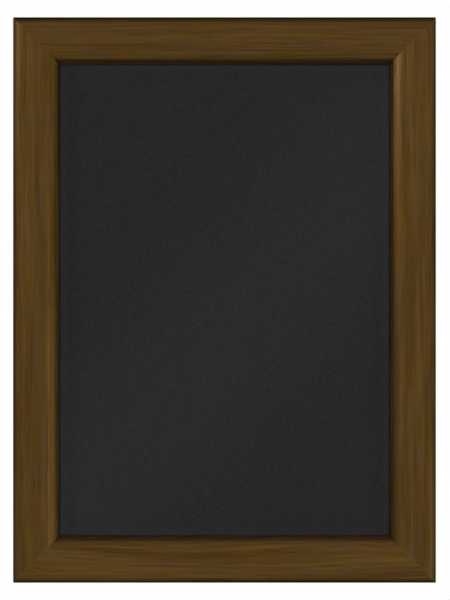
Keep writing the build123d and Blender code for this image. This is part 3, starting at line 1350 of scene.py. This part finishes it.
@dataclass
class GrubScrews:
    """The sixteen socket grub screws, with their threads, chamfers, hexagon sockets and cup points."""

    finish: Steel = BLACK_OXIDE
    steps: int = 36
    rows: int = 22
    pitch: float = 0.7 * MM
    thread_depth: float = 0.36 * MM
    flank_slope: float = 1.5
    chamfer: float = 0.3 * MM
    socket_radius: float = 1.15 * MM
    socket_depth: float = 1.6 * MM
    socket_cone: float = 0.4 * MM
    cup_depth: float = 0.5 * MM
    cup_radius: float = 1.1 * MM
    weld: float = 0.001 * MM

    def islands(self, node: Piece) -> list[list[Vector]]:
        """Finds the separate solids in a node.

        Args:
            node: The node that holds the solids.

        Returns:
            The lowest and the highest corner of each.
        """
        mesh = bmesh.new()
        mesh.from_mesh(node.data)
        bmesh.ops.remove_doubles(mesh, verts=mesh.verts, dist=self.weld)
        left, found = set(mesh.verts), []
        while left:
            edge, island = [left.pop()], []
            while edge:
                vert = edge.pop()
                island.append(vert.co.copy())
                for near in (link.other_vert(vert) for link in vert.link_edges):
                    if near in left:
                        left.remove(near)
                        edge.append(near)
            found.append(extent(island))
        mesh.free()
        return sorted(found, key=lambda pair: tuple(pair[0]))

    def thread(self, radius: float, height: float, angle: float, length: float) -> float:
        """Gives the screw's radius at one place on its thread.

        Args:
            radius: The outer radius.
            height: The height above the point.
            angle: The direction round the axis.
            length: The screw's length.

        Returns:
            The radius there.
        """
        turn = (height / self.pitch - angle / math.tau) % 1.0
        crest = min(1.0, self.flank_slope * abs(2 * turn - 1))
        near_end = min(height, length - height)
        limit = radius - max(0.0, self.chamfer - near_end)
        return min(limit, radius - self.thread_depth * (1 - crest))

    def hexagon(self, angle: float) -> float:
        """Gives the distance from the axis to the socket's wall in one direction."""
        sixth = math.tau / 6
        return self.socket_radius * math.cos(sixth / 2) / math.cos((angle % sixth) - sixth / 2)

    def add_screw(self, mesh: Mesh, low: Vector, high: Vector) -> None:
        """Adds one screw.

        Args:
            mesh: The mesh that takes it.
            low: The lowest corner of its solid.
            high: The highest corner of its solid.
        """
        radius, length = (high.x - low.x) / 2, high.y - low.y
        foot = Vector(((low.x + high.x) / 2, high.y, (low.z + high.z) / 2))

        def ring(height: float, reach: Callable[[float], float]) -> list[Vert]:
            """Adds one ring of points round the axis.

            Args:
                height: Its height above the point.
                reach: What gives its radius in one direction.

            Returns:
                The points.
            """
            points = []
            for i in range(self.steps):
                angle = math.tau * i / self.steps
                r = reach(angle)
                offset = Vector((r * math.cos(angle), -height, r * math.sin(angle)))
                points.append(mesh.verts.new(foot + offset))
            return points

        rings = [ring(0.0, lambda angle: self.cup_radius)]
        for row in range(self.rows + 1):
            height = length * row / self.rows
            rings.append(ring(height, lambda angle, h=height: self.thread(radius, h, angle, length)))
        rings += [ring(height, self.hexagon) for height in (length, length - self.socket_depth)]
        skin(mesh, rings)
        ends = ((rings[0], self.cup_depth), (rings[-1], length - self.socket_depth - self.socket_cone))
        for last, height in ends:
            tip = mesh.verts.new(foot + FRONT * height)
            for i in range(self.steps):
                mesh.faces.new((last[i], last[(i + 1) % self.steps], tip))

    def dress(self) -> list[str]:
        """Builds the screws as one piece, because they are one node.

        Returns:
            The name of the piece.
        """
        mesh = bmesh.new()
        for low, high in self.islands(frame["nodes"]["grub_screws"]):
            self.add_screw(mesh, low, high)
        screws = new_piece("grub_screws_threaded", mesh, self.finish.make())
        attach(screws, "root")
        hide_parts("grub_screws")
        return [screws.name]


@dataclass(frozen=True)
class Lamp:
    """One soft lamp. Its level is how brightly it lights a white surface that faces it at the object."""

    name: str
    place: tuple[float, float, float]
    aim: tuple[float, float, float]
    size: float
    level: float

    def build(self) -> None:
        """Adds the lamp, hidden from the camera."""
        light = bpy.data.lights.new(self.name, "AREA")
        light.shape = "RECTANGLE"
        light.size = light.size_y = self.size
        towards = Vector(self.aim) - Vector(self.place)
        light.energy = self.level * math.pi**2 * towards.length_squared
        lamp = bpy.data.objects.new(self.name, light)
        lamp.location = self.place
        lamp.rotation_euler = towards.to_track_quat("-Z", "Y").to_euler()
        lamp.visible_camera = False
        bpy.context.scene.collection.objects.link(lamp)


@dataclass
class Studio:
    """The plain studio: lamps, a white surround, a pale floor and the camera.

    The frame hangs at its place on a wall that isn't there, so the floor lies well below it. The camera
    stands where the frame's outline, which is widest a little behind its front, falls on the same pixels
    as in the photograph.
    """

    lamps: tuple[Lamp, ...] = (
        Lamp("front_above", (0.7, -4.2, 3.3), aim=MIDDLE, size=2.2, level=0.33),
        Lamp("back_left", (-1.2, 2.0, 0.6), aim=MIDDLE, size=1.0, level=0.35),
        Lamp("back_right", (1.4, 1.8, 0.3), aim=MIDDLE, size=1.0, level=0.25),
        Lamp("upper_left", (-2.0, -0.78, 0.54), aim=(0.146, 0.0, 0.2), size=0.2, level=0.19),
        Lamp("lower_right", (2.0, -0.78, -0.54), aim=(-0.146, 0.0, -0.2), size=0.2, level=0.13),
    )
    surround_level: float = 0.4
    floor_paint: FloorPaint = field(default_factory=FloorPaint)
    floor_drop: float = 0.4
    floor_reach: float = 2.05
    floor_clear: float = 0.9
    floor_steps: int = 96
    lens: float = 100.0
    sensor: float = 36.0
    picture: tuple[float, float] = (450.0, 600.0)
    left_edge_px: float = 13.1
    right_edge_px: float = 435.9
    top_edge_px: float = 17.6
    bottom_edge_px: float = 582.4
    widest_share: float = 0.1

    def build_surround(self) -> None:
        """Makes the world: white where it is seen, and a plain soft light elsewhere."""
        world = bpy.data.worlds.new("white_surround")
        bpy.context.scene.world = world
        world.use_nodes = True
        nodes = Nodes(world.node_tree)
        soft, white = (
            nodes.add("ShaderNodeBackground", {"Color": WHITE, "Strength": level})
            for level in (self.surround_level, 1.0)
        )
        nodes.add("ShaderNodeOutputWorld", {"Surface": nodes.mixed(nodes.seen_directly(), soft, white)})

    def build_floor(self, low: Vector) -> None:
        """Makes the pale round floor, which turns to the surround's white towards its rim.

        Args:
            low: The lowest corner of the object.
        """
        mesh = bmesh.new()
        bmesh.ops.create_circle(mesh, cap_ends=True, segments=self.floor_steps, radius=self.floor_reach)
        material = self.floor_paint.make(self.floor_clear / MM, self.floor_reach / MM)
        floor = new_object("floor", mesh, material)
        floor.location = (0.0, 0.0, low.z - self.floor_drop)
        floor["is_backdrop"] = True

    def build_camera(self, low: Vector, high: Vector) -> None:
        """Places the camera square to the front, where the frame's edges fall as in the photograph.

        Args:
            low: The lowest corner of the object.
            high: The highest corner of the object.
        """
        wide, tall = self.picture
        edge_low, edge_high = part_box("snap_rail_left")
        edge_depth = abs(edge_low.y) - (edge_high.y - edge_low.y) * self.widest_share
        frame_width = 2 * max(abs(edge_low.x), abs(edge_high.x))
        scale = frame_width / (self.right_edge_px - self.left_edge_px)
        distance = scale * tall * self.lens / self.sensor
        camera_data = bpy.data.cameras.new("camera")
        camera_data.lens = self.lens
        camera_data.sensor_width = self.sensor
        camera = bpy.data.objects.new("camera", camera_data)
        middle_x = (self.left_edge_px + self.right_edge_px) / 2
        middle_y = (self.top_edge_px + self.bottom_edge_px) / 2
        camera.location = (
            (low.x + high.x) / 2 + (wide / 2 - middle_x) * scale,
            -edge_depth - distance,
            (low.z + high.z) / 2 + (middle_y - tall / 2) * scale,
        )
        camera.rotation_euler = (math.pi / 2, 0.0, 0.0)
        bpy.context.scene.collection.objects.link(camera)
        bpy.context.scene.camera = camera

    def build(self, low: Vector, high: Vector) -> None:
        """Builds the whole studio.

        Args:
            low: The lowest corner of the object.
            high: The highest corner of the object.
        """
        self.build_surround()
        self.build_floor(low)
        for lamp in self.lamps:
            lamp.build()
        self.build_camera(low, high)
        bpy.context.scene.view_settings.view_transform = "Standard"


def main() -> None:
    """Builds the object's finishes and pieces in order, then the studio, and reports each."""
    logging.basicConfig(level=logging.INFO, format="%(name)s: %(message)s")
    frame_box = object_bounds()
    for assembly in (SnapRails(), BaseRails(), Panels(), CornerKeys(), LeafSprings(), GrubScrews()):
        for name in assembly.dress():
            LOG.info("%s: %s", type(assembly).__name__, name)
    Studio().build(*frame_box)


if __name__ == "__main__":
    main()
